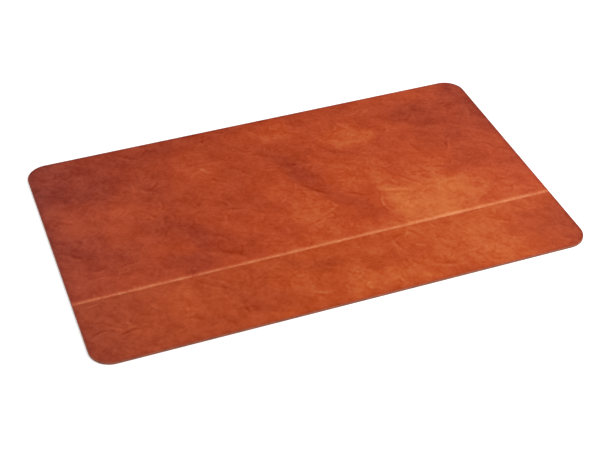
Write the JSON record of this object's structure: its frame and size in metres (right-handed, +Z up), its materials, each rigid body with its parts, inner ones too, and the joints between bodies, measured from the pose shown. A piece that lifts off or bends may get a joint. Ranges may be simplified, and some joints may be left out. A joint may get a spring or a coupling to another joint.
{
  "type": "leather desk pad",
  "caption": "Thin rounded leather desk pad: two leather panels sewn with a lap seam, bonded over a stiffener and a suede backing, with sealed edges.",
  "frame": {"origin": "centre of the underside, on the desk", "axes": "+X along the pad's length to the right, +Y to the rear, +Z up out of the writing surface"},
  "size_m": [0.65, 0.4, 0.0031],
  "materials": {
    "leather": "mottled, satin",
    "thread": "waxed thread",
    "edge_paint": "satin edge coat",
    "suede": "napped",
    "board": "matte",
    "glue": "contact adhesive film",
    "tape": "double-sided tape"
  },
  "bodies": {
    "root": {"backing_sheet": "suede", "lower_glue_film": "glue", "stiffener_sheet": "board", "upper_glue_film": "glue", "front_panel": "leather", "rear_panel": "leather", "seam_tape": "tape", "needle_thread": "thread", "bobbin_thread": "thread", "edge_paint": "edge_paint"}
  },
  "joints": []
}
